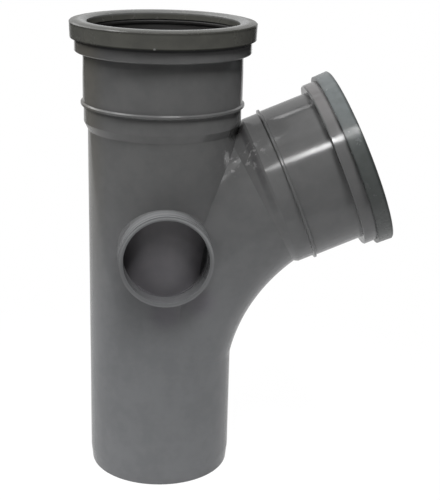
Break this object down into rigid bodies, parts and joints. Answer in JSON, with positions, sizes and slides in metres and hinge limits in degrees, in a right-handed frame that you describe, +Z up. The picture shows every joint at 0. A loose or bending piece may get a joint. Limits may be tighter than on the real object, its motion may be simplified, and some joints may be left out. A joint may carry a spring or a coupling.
{
  "type": "soil pipe branch",
  "caption": "Moulded grey soil pipe branch: upright pipe with a spigot end below, ring-seal socket above, ring-seal socket on a swept side branch and a blanked round boss in front.",
  "frame": {"origin": "centre of the spigot end's foot, on the axis of the upright pipe", "axes": "+Z up along the upright pipe towards the top socket, +X towards the side the branch leans to, -Y towards the front, where the boss faces"},
  "size_m": [0.244, 0.1386, 0.3493],
  "materials": {
    "grey_pvc": "semi-gloss",
    "cap_grey": "satin",
    "seal_black": "matte"
  },
  "bodies": {
    "root": {"branch_body": "grey_pvc", "top_retaining_cap": "cap_grey", "branch_retaining_cap": "cap_grey", "top_seal_ring": "seal_black", "branch_seal_ring": "seal_black"}
  },
  "joints": []
}
